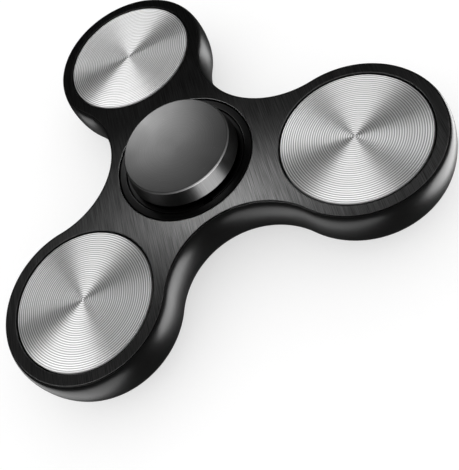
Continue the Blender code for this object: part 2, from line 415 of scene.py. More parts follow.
spunDisc = {
    # light and dark are the crest and valley greys of the painted groove shade, mixed with real turned
    # lines
    "light": 1.0,
    "dark": 0.1,
    "metallic": 0.91,
    "roughness": 0.4,
    "anisotropy": 0.915,
    "pitch": 0.345,
    "grooveDepth": 0.012,
    "chamfer": 0.15,
    "fineLines": 0.00011,
    "lineDepth": 0.0000035,
    "grooveShadeShare": 0.75,  # of the colour: painted shade in the groove valleys with lighter crests, and the fine turned lines give the rest
    "around": 128,
    "rowsPerGroove": 5,
}


def makeSpunMetal(name, centre):
    constants = {"Metallic": spunDisc["metallic"], "Anisotropic": spunDisc["anisotropy"]}
    constants["Anisotropic Rotation"] = 0.25
    finish = Finish(name, constants)
    lines = finish.effect("turned", finish.centred(centre), Pitch=spunDisc["fineLines"])
    # Painted shade: the base colour is darkest in each groove's valley and lightest on its crest, at the
    # groove pitch
    steps = maths(finish.tree, "DIVIDE", lines["Radius"], spunDisc["pitch"] * mm / math.pi)
    paintedGrooveShade = maths(finish.tree, "ABSOLUTE", maths(finish.tree, "SINE", steps))
    scratches = maths(finish.tree, "MULTIPLY", lines["Lines"], 1 - spunDisc["grooveShadeShare"])
    grooveShadePart = maths(finish.tree, "MULTIPLY", paintedGrooveShade, spunDisc["grooveShadeShare"])
    grooveShadeAndLines = maths(finish.tree, "ADD", grooveShadePart, scratches)
    marks = finish.effect("handling", Smudge_Size=0.006)
    # The base colour carries the painted groove shade as well as the turned lines
    finish.set("Base Color", finish.blend(grooveShadeAndLines, grey(spunDisc["dark"]), grey(spunDisc["light"])))
    finish.set("Roughness", finish.smudged(marks["Smudge"], spunDisc["roughness"], 0.04))
    finish.tangent(direction_type="RADIAL", axis="Z")
    finish.set("Normal", finish.bump(lines["Height"], spunDisc["lineDepth"]))
    return finish.material


capFinish = {
    "base": 0.24,
    "worn": 0.3,
    "roughness": 0.29,
    "grainDepth": 0.0000025,
    "skirtBase": 0.2,
    "skirtRoughness": 0.42,
    "faceAnisotropy": 0.15,
    "skirtAnisotropy": 0.9,
    "facePitch": 0.00009,
    "faceVariation": 0.08,
    "skirtVariation": 0.15,
    "skirtGrainDepth": 0.0000008,
}


def makeCapFace():
    finish = Finish("satinCapFace", {"Metallic": 1.0, "Anisotropic": capFinish["faceAnisotropy"]})
    pitch, change = capFinish["facePitch"], capFinish["faceVariation"]
    marks = finish.effect("handling", Smudge_Size=0.008, Grain_Size=pitch)
    lines = finish.effect("turned", Pitch=pitch)
    low, high = capFinish["base"] * (1 - change), capFinish["base"] * (1 + change)
    base = finish.blend(lines["Lines"], grey(low), grey(high))
    finish.set("Base Color", finish.blend(marks["Specks"], base, grey(capFinish["worn"])))
    finish.set("Roughness", finish.smudged(marks["Smudge"], capFinish["roughness"], 0.07))
    finish.tangent(direction_type="RADIAL", axis="Z")
    finish.set("Normal", finish.bump(marks["Grain"], capFinish["grainDepth"]))
    return finish.material


def makeCapSkirt():
    constants = {"Metallic": 1.0, "Anisotropic": capFinish["skirtAnisotropy"]}
    constants["Anisotropic Rotation"] = 0.25
    finish = Finish("turnedCapSkirt", constants)
    marks = finish.effect("handling", Smudge_Size=0.01)
    streaks = finish.effect("brushing", Line_Length=0.004, Line_Width=0.00012)
    change = capFinish["skirtVariation"]
    low, high = capFinish["skirtBase"] * (1 - change), capFinish["skirtBase"] * (1 + change)
    finish.set("Base Color", finish.blend(streaks["Streaks"], grey(low), grey(high)))
    finish.set("Roughness", finish.smudged(marks["Smudge"], capFinish["skirtRoughness"], 0.05))
    finish.tangent(direction_type="RADIAL", axis="Z")
    finish.set("Normal", finish.bump(marks["Grain"], capFinish["skirtGrainDepth"]))
    return finish.material


cutEdge = {
    "dark": 0.34,
    "light": 0.5,
    "smooth": 0.46,
    "rough": 0.56,
    "pitch": 0.00004,
    "lineDepth": 0.000001,
}


def makeCutEdge():
    finish = Finish("brightCutChamfer", {"Metallic": 1.0})
    lines = finish.effect("turned", Pitch=cutEdge["pitch"])
    metal = finish.blend(lines["Lines"], grey(cutEdge["dark"]), grey(cutEdge["light"]))
    finish.set("Base Color", metal)
    rough = remap(finish.tree, lines["Lines"], 0.0, 1.0, cutEdge["smooth"], cutEdge["rough"])
    finish.set("Roughness", rough)
    finish.set("Normal", finish.bump(lines["Height"], cutEdge["lineDepth"]))
    return finish.material


def makeGroundSteel(name, dark, light, roughness, pitch=0.00012, depth=0.000002):
    finish = Finish(name, {"Metallic": 1.0, "Anisotropic": 0.4})
    lines = finish.effect("turned", Pitch=pitch)
    marks = finish.effect("handling")
    worn = finish.effect("wear", Edge=finish.attribute("edge"), Amount=0.4)["Worn"]
    metal = finish.blend(lines["Lines"], grey(dark), grey(light))
    finish.set("Base Color", finish.blend(worn, metal, grey(min(1.0, light * 1.8))))
    finish.set("Roughness", finish.smudged(marks["Smudge"], roughness, 0.08))
    finish.tangent(direction_type="RADIAL", axis="Z")
    finish.set("Normal", finish.bump(lines["Height"], depth))
    return finish.material


nylon = {
    "dark": 0.045,
    "light": 0.07,
    "smooth": 0.42,
    "rough": 0.6,
    "index": 1.52,
    "grainSize": 0.0002,
    "grainDepth": 0.000008,
}


def makeMouldedNylon():
    finish = Finish("mouldedNylon", {"Metallic": 0.0, "IOR": nylon["index"]})
    marks = finish.effect("handling", Grain_Size=nylon["grainSize"])
    plastic = finish.blend(marks["Smudge"], grey(nylon["dark"]), grey(nylon["light"]))
    finish.set("Base Color", plastic)
    rough = remap(finish.tree, marks["Grain"], 0.3, 0.7, nylon["smooth"], nylon["rough"])
    finish.set("Roughness", rough)
    finish.set("Normal", finish.bump(marks["Grain"], nylon["grainDepth"]))
    return finish.material


materials = {
    "face": makeBrushedFace(),
    "side": makeGlossSide(),
    "capFace": makeCapFace(),
    "capSide": makeCapSkirt(),
    "chamfer": makeCutEdge(),
    "ring": makeGroundSteel("blackOxideRing", dark=0.04, light=0.075, roughness=0.3),
    "shield": makeGroundSteel("blackPressedShield", dark=0.03, light=0.05, roughness=0.34),
    "snapRing": makeGroundSteel("springSteelWire", dark=0.06, light=0.1, roughness=0.3),
    "raceway": makeGroundSteel("groundBearingSteel", dark=0.45, light=0.62, roughness=0.18),
    "weight": makeGroundSteel(
        "turnedWeightSteel", dark=0.4, light=0.56, roughness=0.33, pitch=0.0002, depth=0.000006
    ),
    "ball": makeGroundSteel(
        "lappedBallSteel", dark=0.72, light=0.8, roughness=0.05, pitch=0.0004, depth=0.0000002
    ),
    "cage": makeMouldedNylon(),
}
print("materials ready:", len(materials))


# Mesh helpers

def finishMesh(name, builder, slotMaterials, sharpAngle=32.0):
    mesh = bpy.data.meshes.new(name)
    builder.normal_update()
    builder.to_mesh(mesh)
    builder.free()
    for material in slotMaterials:
        mesh.materials.append(material)
    for polygon in mesh.polygons:
        polygon.use_smooth = True
    mesh.set_sharp_from_angle(angle=math.radians(sharpAngle))
    piece = bpy.data.objects.new(name, mesh)
    bpy.context.scene.collection.objects.link(piece)
    return piece


def closeMesh(builder):
    bmesh.ops.remove_doubles(builder, verts=builder.verts, dist=0.0000005)
    bmesh.ops.recalc_face_normals(builder, faces=builder.faces)


def softened(corners, closed, steps=4, support=0.06):
    rows = []
    count = len(corners)
    for number, (radius, height, bevel, band) in enumerate(corners):
        here = Vector((radius, height))
        isEnd = not closed and number in (0, count - 1)
        if isEnd or bevel <= 0:
            rows.append((radius, height, 0.0, band))
            continue
        before = Vector(corners[number - 1][:2]) - here
        after = Vector(corners[(number + 1) % count][:2]) - here
        lastBand = corners[number - 1][3]
        roomBefore, roomAfter = before.length * 0.49, after.length * 0.49
        reach = min(bevel, roomBefore, roomAfter)
        towards, onwards = before.normalized(), after.normalized()
        if roomBefore > reach + support:
            point = here + towards * (reach + support)
            rows.append((point.x, point.y, 0.0, lastBand))
        for step in range(steps + 1):
            share = step / steps
            point = here + towards * (reach * (1 - share) ** 2) + onwards * (reach * share**2)
            rows.append((point.x, point.y, 1.0, band if step == steps else lastBand))
        if roomAfter > reach + support:
            point = here + onwards * (reach + support)
            rows.append((point.x, point.y, 0.0, band))
    return rows


def turnedPiece(name, corners, slotMaterials, closed=True, around=128, centre=(0.0, 0.0), support=0.06):
    rows = softened(corners, closed, support=support)
    builder = bmesh.new()
    edge = builder.verts.layers.float.new("edge")
    rings = []
    for radius, height, worn, band in rows:
        ring = []
        for number in range(around):
            turn = 2 * math.pi * number / around
            spot = (centre[0] + radius * math.cos(turn), centre[1] + radius * math.sin(turn), height)
            vertex = builder.verts.new([value * mm for value in spot])
            vertex[edge] = worn
            ring.append(vertex)
        rings.append((ring, band))
    pairs = list(zip(rings, rings[1:] + rings[:1])) if closed else list(zip(rings, rings[1:]))
    for (lower, band), (upper, _) in pairs:
        for number in range(around):
            after = (number + 1) % around
            face = builder.faces.new((lower[number], lower[after], upper[after], upper[number]))
            face.material_index = band
    closeMesh(builder)
    return finishMesh(name, builder, slotMaterials)


def ride(piece, body, slot, *nodes):
    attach(piece, body)
    if nodes:
        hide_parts(*nodes)
    return piece


# Frame: three round lobes joined by hollow waists, with a bullnose side

spinnerFrame = {
    "lobeStep": 2.5,
    "grooveWidth": 0.16,
    "grooveDepth": 0.2,
    "faceEdge": 0.05,
    "holeEdge": 0.07,
    "flatMargin": 0.3,  # where the side's rows begin on the flat face
    "edgeSupport": 0.06,
    "edgeWear": 0.6,
    "grooveSoftness": 0.03,
    "holeMargin": 0.12,
    "holeWear": 0.2,
    "sideSteps": 26,
    "holeAround": 120,
}


def frameOutline(offset):
    pitch, lobe, waist = sizes["lobePitch"], sizes["lobeRadius"], sizes["waist"]
    difference = lobe - waist
    waistCentre = (pitch**2 - difference**2) / (pitch + 2 * difference)
    third = math.pi / sizes["lobeCount"]
    sweep = math.atan2(waistCentre * math.sin(third), waistCentre * math.cos(third) - pitch)
    turnBack = sweep - third
    lobeSteps = round(2 * math.degrees(sweep) / spinnerFrame["lobeStep"])
    waistSteps = round(2 * math.degrees(turnBack) / spinnerFrame["lobeStep"])
    points = []
    for turn in lobeTurns:
        x, y = lobeCentre(turn)
        for step in range(lobeSteps):
            angle = turn - sweep + 2 * sweep * step / lobeSteps
            points.append((x + (lobe + offset) * math.cos(angle), y + (lobe + offset) * math.sin(angle)))
        middle = turn + third
        x, y = waistCentre * math.cos(middle), waistCentre * math.sin(middle)
        hollow = waistCentre - waist - offset
        for step in range(waistSteps):
            angle = middle + math.pi + turnBack - 2 * turnBack * step / waistSteps
            points.append((x + hollow * math.cos(angle), y + hollow * math.sin(angle)))
    return points


def frameSideRows():
    half = sizes["bodyThickness"] / 2
    width, depth = spinnerFrame["grooveWidth"], spinnerFrame["grooveDepth"]
    soft, turnIn = spinnerFrame["faceEdge"], spinnerFrame["grooveSoftness"]
    wear = spinnerFrame["edgeWear"]
    start = math.acos((width + 0.04) / sizes["sideBulge"])
    top = [
        (-spinnerFrame["flatMargin"], half, 0.0, 0),
        (-soft - spinnerFrame["edgeSupport"], half, 0.0, 0),
        (-soft, half, wear, 0),
        (-soft * 0.3, half - soft * 0.3, 1.0, 1),
        (0.0, half - soft, wear, 1),
        (0.01, half - depth, 0.0, 1),
        (width - turnIn, half - depth, 0.0, 1),
        (width, half - depth + turnIn, 0.0, 1),
        (width + 0.01, half * math.sin(start) - turnIn, wear / 2, 1),
    ]
    steps = spinnerFrame["sideSteps"]
    side = []
    for step in range(steps + 1):
        angle = start - 2 * start * step / steps
        side.append((sizes["sideBulge"] * math.cos(angle), half * math.sin(angle), 0.0, 1))
    bottom = [(offset, -height, worn, 1) for offset, height, worn, _ in reversed(top)]
    bottom[-3:] = [(offset, height, worn, 0) for offset, height, worn, _ in bottom[-3:]]
    return top + side + bottom


def holeRows(radius, isLobe):
    half = sizes["bodyThickness"] / 2
    soft, support = spinnerFrame["holeEdge"], spinnerFrame["edgeSupport"]
    wear = spinnerFrame["holeWear"]
    rows = [
        (radius + soft + spinnerFrame["holeMargin"], half, 0.0, 0),
        (radius + soft, half, wear, 0),
        (radius + soft * 0.3, half - soft * 0.3, 2 * wear, 1),
        (radius, half - soft, wear, 1),
        (radius, half - soft - support, 0.0, 1),
    ]
    if isLobe:
        floor = half - sizes["recessDepth"]
        inner = radius - sizes["ledgeWidth"]
        rows += [
            (radius, floor + support, 0.0, 1),
            (radius, floor, 0.0, 1),
            (radius - support, floor, 0.0, 1),
            (inner + support, floor, 0.0, 1),
            (inner, floor, 2 * wear, 1),
            (inner, floor - support, 0.0, 1),
        ]
    lower = [(around, -height, worn, 1) for around, height, worn, _ in reversed(rows)]
    lower[-2:] = [(around, height, worn, 0) for around, height, worn, _ in lower[-2:]]
    return rows + lower


def addLoops(builder, edge, loops):
    rings = []
    for points, height, worn, band in loops:
        ring = []
        for x, y in points:
            vertex = builder.verts.new((x * mm, y * mm, (sizes["midHeight"] + height) * mm))
            vertex[edge] = worn
            ring.append(vertex)
        rings.append((ring, band))
    for (upper, band), (lower, _) in zip(rings, rings[1:]):
        count = len(upper)
        for number in range(count):
            after = (number + 1) % count
            face = builder.faces.new((upper[number], lower[number], lower[after], upper[after]))
            face.material_index = band
    return rings[0][0], rings[-1][0]


def circlePoints(centre, radius, around):
    turns = [2 * math.pi * number / around for number in range(around)]
    return [(centre[0] + radius * math.cos(turn), centre[1] + radius * math.sin(turn)) for turn in turns]


def fillBetween(builder, loops):
    edges = []
    for loop in loops:
        for first, second in zip(loop, loop[1:] + loop[:1]):
            edges.append(builder.edges.get((first, second)))
    made = bmesh.ops.triangle_fill(builder, edges=edges, use_beauty=True, use_dissolve=False)
    for item in made["geom"]:
        if isinstance(item, bmesh.types.BMFace):
            item.material_index = 0


def addBrushMap(mesh, turn):
    layer = mesh.uv_layers.new(name="brush")
    along = Vector((math.cos(turn), math.sin(turn), 0.0))
    across = Vector((-math.sin(turn), math.cos(turn), 0.0))
    scale, rise = brushedFace["mapScale"], brushedFace["mapRise"]
    for loop in mesh.loops:
        spot = mesh.vertices[loop.vertex_index].co
        layer.data[loop.index].uv = (spot.dot(across) * scale + spot.z * rise, spot.dot(along) * scale)


def makeSpinnerFrame():
    builder = bmesh.new()
    edge = builder.verts.layers.float.new("edge")
    loops = [addLoops(builder, edge, [(frameOutline(o), h, w, b) for o, h, w, b in frameSideRows()])]
    holes = [((0.0, 0.0), sizes["bearingSeatRadius"], False)]
    holes += [(lobeCentre(turn), sizes["discRadius"] + sizes["discGap"], True) for turn in lobeTurns]
    around = spinnerFrame["holeAround"]
    for centre, radius, isLobe in holes:
        rows = [(circlePoints(centre, r, around), h, w, b) for r, h, w, b in holeRows(radius, isLobe)]
        loops.append(addLoops(builder, edge, rows))
    fillBetween(builder, [top for top, _ in loops])
    fillBetween(builder, [bottom for _, bottom in loops])
    closeMesh(builder)
    piece = finishMesh("spinnerFrame", builder, [materials["face"], materials["side"]])
    addBrushMap(piece.data, math.radians(brushedFace["lineTurn"]))
    return ride(piece, "rotor", "frame", "spinner_body")


makeSpinnerFrame()
print("frame made")


# Spun discs, with real turned grooves from Geometry Nodes

def makeSpunDiscTree():
    tree, given, result = newGroup(
        "spunDisc",
        "GeometryNodeTree",
        [
            ("Radius", "NodeSocketFloat", 0.011),
            ("Thickness", "NodeSocketFloat", 0.0008),
            ("Chamfer", "NodeSocketFloat", 0.00015),
            ("Groove Pitch", "NodeSocketFloat", 0.0004),
            ("Groove Depth", "NodeSocketFloat", 0.00001),
            ("Rows", "NodeSocketInt", 130),
            ("Around", "NodeSocketInt", 128),
            ("Material", "NodeSocketMaterial", None),
        ],
        [("Geometry", "NodeSocketGeometry")],
    )

    def polarGrid(rows):
        grid = newNode(tree, "GeometryNodeMeshGrid")
        feed(tree, grid, 1.0, 1.0, rows, maths(tree, "ADD", given["Around"], 1.0))
        position = newNode(tree, "GeometryNodeInputPosition")
        split = newNode(tree, "ShaderNodeSeparateXYZ")
        tree.links.new(position.outputs[0], split.inputs[0])
        outwards = maths(tree, "ADD", split.outputs[0], 0.5)
        turn = maths(tree, "MULTIPLY", maths(tree, "ADD", split.outputs[1], 0.5), 2 * math.pi)
        return grid.outputs["Mesh"], outwards, turn

    def moved(mesh, radius, turn, height):
        spot = newNode(tree, "ShaderNodeCombineXYZ")
        x = maths(tree, "MULTIPLY", radius, maths(tree, "COSINE", turn))
        y = maths(tree, "MULTIPLY", radius, maths(tree, "SINE", turn))
        feed(tree, spot, x, y, height)
        setter = newNode(tree, "GeometryNodeSetPosition")
        tree.links.new(mesh, setter.inputs["Geometry"])
        tree.links.new(spot.outputs[0], setter.inputs["Position"])
        return setter.outputs[0]

    inner = maths(tree, "SUBTRACT", given["Radius"], given["Chamfer"])
    mesh, outwards, turn = polarGrid(given["Rows"])
    radius = maths(tree, "MULTIPLY", outwards, inner)
    steps = maths(tree, "DIVIDE", radius, given["Groove Pitch"])
    wave = maths(tree, "SINE", maths(tree, "MULTIPLY", steps, math.pi))
    ridge = maths(tree, "ABSOLUTE", wave)
    fade = remap(tree, outwards, 0.97, 1.0, 1.0, 0.0)
    drop = maths(tree, "MULTIPLY", maths(tree, "SUBTRACT", ridge, 1.0), given["Groove Depth"])
    face = moved(mesh, radius, turn, maths(tree, "MULTIPLY", drop, fade))

    mesh, outwards, turn = polarGrid(5)
    row = maths(tree, "ROUND", maths(tree, "MULTIPLY", outwards, 4.0))
    low = maths(tree, "MULTIPLY", given["Thickness"], -1.0)
    corner = maths(tree, "MULTIPLY", given["Chamfer"], -1.0)
    radii = [inner, given["Radius"], given["Radius"], inner, 0.0]
    heights = [0.0, corner, maths(tree, "ADD", low, given["Chamfer"]), low, low]
    picked = []
    for values in (radii, heights):
        switch = newNode(tree, "GeometryNodeIndexSwitch", data_type="FLOAT")
        while len(switch.index_switch_items) < len(values):
            switch.index_switch_items.new()
        feed(tree, switch, row, *values)
        picked.append(switch.outputs[0])
    rim = moved(mesh, picked[0], turn, picked[1])

    joined = newNode(tree, "GeometryNodeJoinGeometry")
    tree.links.new(face, joined.inputs[0])
    tree.links.new(rim, joined.inputs[0])
    merged = newNode(tree, "GeometryNodeMergeByDistance")
    merged.inputs["Distance"].default_value = 0.000001
    tree.links.new(joined.outputs[0], merged.inputs["Geometry"])
    solid = newNode(tree, "GeometryNodeRealizeInstances")
    tree.links.new(merged.outputs[0], solid.inputs[0])
    painted = newNode(tree, "GeometryNodeSetMaterial")
    tree.links.new(solid.outputs[0], painted.inputs["Geometry"])
    tree.links.new(given["Material"], painted.inputs["Material"])
    tree.links.new(painted.outputs[0], result["Geometry"])
    return tree


def treeMesh(name, tree, values):
    holder = bpy.data.objects.new(name + "Source", bpy.data.meshes.new(name + "Source"))
    bpy.context.scene.collection.objects.link(holder)
    modifier = holder.modifiers.new(name, "NODES")
    modifier.node_group = tree
    sockets = {item.name: item.identifier for item in tree.interface.items_tree if item.in_out == "INPUT"}
    for label, value in values.items():
        modifier[sockets[label]] = value
    graph = bpy.context.evaluated_depsgraph_get()
    mesh = bpy.data.meshes.new_from_object(holder.evaluated_get(graph), depsgraph=graph)
    mesh.name = name
    holder.modifiers.remove(modifier)
    bpy.data.objects.remove(holder)
    return mesh


def solidFrom(mesh, name, placing=None):
    builder = bmesh.new()
    builder.from_mesh(mesh)
    closeMesh(builder)
    if placing is not None:
        bmesh.ops.transform(builder, matrix=placing, verts=builder.verts)
    return finishMesh(name, builder, list(mesh.materials))


def discPlacing(turn, isUpper):
    x, y = lobeCentre(turn)
    node = "upper_disc_1" if isUpper else "lower_disc_1"
    low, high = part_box(node)
    flip = Matrix.Rotation(0.0 if isUpper else math.pi, 4, "X")
    return Matrix.Translation((x * mm, y * mm, high.z if isUpper else low.z)) @ flip


def makeSpunDiscs():
    tree = makeSpunDiscTree()
    grooves = (sizes["discRadius"] - spunDisc["chamfer"]) / spunDisc["pitch"]
    for number, turn in enumerate(lobeTurns, 1):
        x, y = lobeCentre(turn)
        metal = makeSpunMetal(f"spunMetal{number}", (x, y, 0.0))
        mesh = treeMesh(
            f"spunDiscMesh{number}",
            tree,
            {
                "Radius": sizes["discRadius"] * mm,
                "Thickness": sizes["discThickness"] * mm,
                "Chamfer": spunDisc["chamfer"] * mm,
                "Groove Pitch": spunDisc["pitch"] * mm,
                "Groove Depth": spunDisc["grooveDepth"] * mm,
                "Rows": round(grooves * spunDisc["rowsPerGroove"]),
                "Around": spunDisc["around"],
                "Material": metal,
            },
        )
        for isUpper, side in ((True, "upper"), (False, "lower")):
            piece = solidFrom(mesh, f"{side}SpunDisc{number}", discPlacing(turn, isUpper))
            ride(piece, "rotor", "spun_discs", f"{side}_disc_{number}")


makeSpunDiscs()
print("spun discs made")


# Finger caps

cap = {
    "faceHeight": 14.2,
    "radius": 8.5,
    "chamfer": 0.2,
    "flare": 0.6,
    "rimHeight": 11.4,
    "rimWall": 0.7,
    "roofHeight": 12.4,
    "hubRadius": 5.52,
    "hubEnd": 10.7,
    "spigotRadius": 3.9,
    "spigotEnd": 6.6,
    "socketRadius": 2.6,
    "socketEnd": 11.0,
    "lowerSpigotEnd": 8.2,  # as if the lower cap stood on top, like the upper one
    "studRadius": 2.5,
    "studEnd": 3.8,
}


def capCorners():
    radius, face, rim = cap["radius"], cap["faceHeight"], cap["rimHeight"]
    flared = radius + cap["flare"]
    return [
        (0.0, face, 0.0, 0),
        (radius - cap["chamfer"], face, 0.03, 2),
        (radius, face - cap["chamfer"], 0.04, 1),
        (flared, rim, 0.12, 1),
        (flared - cap["rimWall"], rim, 0.06, 1),
        (radius - cap["rimWall"], cap["roofHeight"], 0.1, 1),
        (cap["hubRadius"], cap["roofHeight"], 0.1, 1),
        (cap["hubRadius"], cap["hubEnd"], 0.05, 1),
        (cap["spigotRadius"], cap["hubEnd"], 0.0, 1),
    ]


def makeCaps():
    middle = sizes["midHeight"]
    paints = [materials["capFace"], materials["capSide"], materials["chamfer"]]
    upper = capCorners() + [
        (cap["spigotRadius"], cap["spigotEnd"], 0.2, 1),
        (cap["socketRadius"], cap["spigotEnd"], 0.2, 1),
        (cap["socketRadius"], cap["socketEnd"], 0.0, 1),
        (0.0, cap["socketEnd"], 0.0, 1),
    ]
    piece = turnedPiece("upperCap", upper, paints, closed=False, support=0.04)
    ride(piece, "finger_grip", "caps", "upper_cap")
    lower = capCorners() + [
        (cap["spigotRadius"], cap["lowerSpigotEnd"], 0.2, 1),
        (cap["studRadius"], cap["lowerSpigotEnd"], 0.0, 1),
        (cap["studRadius"], cap["studEnd"], 0.3, 1),
        (0.0, cap["studEnd"], 0.0, 1),
    ]
    lower = [(radius, 2 * middle - height, bevel, band) for radius, height, bevel, band in lower]
    piece = turnedPiece("lowerCap", lower, paints, closed=False, support=0.04)
    ride(piece, "finger_grip", "caps", "lower_cap")


makeCaps()
print("caps made")


# Ball bearing: two rings, seven balls in a crown cage, and a shield and snap ring on each side

bearing = {
    "ballCount": 7,
    "ballPitchRadius": 7.5,
    "grooveSpare": 0.1,
    "grooveDepth": 0.5,
    "pocketGap": 0.15,
    "cageOutside": 8.25,
    "cageWall": 1.5,
    "bore": 4.0,
    "shieldGap": 0.3,  # between a shield's bore and the inner ring
    "shieldRim": 0.9,
    "shieldSlope": 0.3,
    "snapWidth": 0.6,
    "landSoftness": 0.12,
    "ringSoftness": 0.22,
    "seatSoftness": 0.14,
    "shieldFold": 0.07,
    "wireSoftness": 0.09,
    "snapOpening": 1.6,
    "racewaySteps": 12,
    "ringAround": 160,
    "wireSteps": 150,
    "ballAround": 40,
    "ballRows": 24,
}
ballRadius = sizeOf("ball_1")[2] / 2
innerLand = bearing["ballPitchRadius"] - ballRadius + bearing["grooveDepth"]
outerLand = bearing["ballPitchRadius"] + ballRadius - bearing["grooveDepth"]


def racewayCorners(land, side):
    groove = ballRadius + bearing["grooveSpare"]
    reach = abs(land - bearing["ballPitchRadius"])
    half = math.acos(reach / groove)
    steps = bearing["racewaySteps"]
    angles = [half * (1 - 2 * step / steps) for step in range(steps + 1)]
    return [
        (
            bearing["ballPitchRadius"] + side * groove * math.cos(angle),
            sizes["midHeight"] + groove * math.sin(angle),
            0.0,
            1,
        )
        for angle in angles
    ]


def makeBearingRings():
    paints = [materials["ring"], materials["raceway"]]
    low, high = heightsOf("bearing_outer_ring")
    outside = sizeOf("bearing_outer_ring")[0] / 2
    soft, seatSoft = bearing["ringSoftness"], bearing["seatSoftness"]
    seat = sizeOf("upper_shield")[0] / 2 + sizes["seatGap"]
    floorHigh = heightsOf("upper_shield")[0] - sizes["seatGap"]
    floorLow = heightsOf("lower_shield")[1] + sizes["seatGap"]
    outer = [
        (outside, high, soft, 0),
        (outside, low, soft, 0),
        (seat, low, seatSoft, 0),
        (seat, floorLow, 0.0, 0),
        (outerLand, floorLow, 0.0, 0),
        *reversed(racewayCorners(outerLand, 1)),
        (outerLand, floorHigh, 0.0, 0),
        (seat, floorHigh, 0.0, 0),
        (seat, high, seatSoft, 0),
    ]
    piece = turnedPiece("outerRing", outer, paints, around=bearing["ringAround"])
    ride(piece, "rotor", "bearing_rings", "bearing_outer_ring")
    low, high = heightsOf("bearing_inner_ring")
    inner = [
        (innerLand, high, bearing["landSoftness"], 0),
        *racewayCorners(innerLand, -1),
        (innerLand, low, bearing["landSoftness"], 0),
        (bearing["bore"], low, soft, 0),
        (bearing["bore"], high, soft, 0),
    ]
    piece = turnedPiece("innerRing", inner, paints)
    ride(piece, "finger_grip", "bearing_rings", "bearing_inner_ring")


def makeShields():
    for side in ("upper", "lower"):
        node = f"{side}_shield"
        low, high = heightsOf(node)
        outside = sizeOf(node)[0] / 2
        inside = innerLand + bearing["shieldGap"]
        rim = inside + bearing["shieldRim"]
        fold = bearing["shieldFold"]
        step = fold if side == "upper" else -fold
        top, bottom = (high, low) if side == "upper" else (low, high)
        corners = [
            (outside, top, fold, 0),
            (outside, bottom, fold, 0),
            (inside, bottom, fold, 0),
            (inside, top - step, fold * 0.8, 0),
            (rim, top - step, 0.0, 0),
            (rim + bearing["shieldSlope"], top, 0.0, 0),
        ]
        around = bearing["ringAround"]
        piece = turnedPiece(f"{side}Shield", corners, [materials["shield"]], around=around)
        ride(piece, "rotor", "shields", node)


def sweptWire(name, section, start, end, steps, slotMaterials):
    builder = bmesh.new()
    edge = builder.verts.layers.float.new("edge")
    rings = []
    for step in range(steps + 1):
        turn = start + (end - start) * step / steps
        ring = []
        for radius, height, worn, _ in section:
            spot = Vector((radius * math.cos(turn), radius * math.sin(turn), height)) * mm
            vertex = builder.verts.new(spot)
            vertex[edge] = worn
            ring.append(vertex)
        rings.append(ring)
    count = len(section)
    for before, after in zip(rings, rings[1:]):
        for number in range(count):
            following = (number + 1) % count
            builder.faces.new((before[number], before[following], after[following], after[number]))
    builder.faces.new(rings[0])
    builder.faces.new(reversed(rings[-1]))
    closeMesh(builder)
    return finishMesh(name, builder, slotMaterials)


def makeSnapRings():
    outside = sizeOf("upper_shield")[0] / 2
    inside = outside - bearing["snapWidth"]
    soft = bearing["wireSoftness"]
    half = math.asin(bearing["snapOpening"] / 2 / outside)
    start, end = math.pi + half, 3 * math.pi - half
    steps, paints = bearing["wireSteps"], [materials["snapRing"]]
    for side in ("upper", "lower"):
        node = f"{side}_snap_ring"
        low, high = heightsOf(node)
        corners = [
            (outside, high, soft, 0),
            (outside, low, soft, 0),
            (inside, low, soft, 0),
            (inside, high, soft, 0),
        ]
        section = softened(corners, True, support=0.03)
        piece = sweptWire(f"{side}SnapRing", section, start, end, steps, paints)
        ride(piece, "rotor", "snap_rings", node)


def makeBalls():
    for number in range(1, bearing["ballCount"] + 1):
        turn = 2 * math.pi * (number - 1) / bearing["ballCount"]
        centre = Vector((math.cos(turn), math.sin(turn), 0.0)) * bearing["ballPitchRadius"]
        centre.z = sizes["midHeight"]
        builder = bmesh.new()
        bmesh.ops.create_uvsphere(
            builder,
            u_segments=bearing["ballAround"],
            v_segments=bearing["ballRows"],
            radius=ballRadius * mm,
        )
        bmesh.ops.translate(builder, vec=centre * mm, verts=builder.verts)
        piece = finishMesh(f"rollingBall{number}", builder, [materials["ball"]], 60.0)
        ride(piece, f"rolling_ball_{number}", "balls", f"ball_{number}")


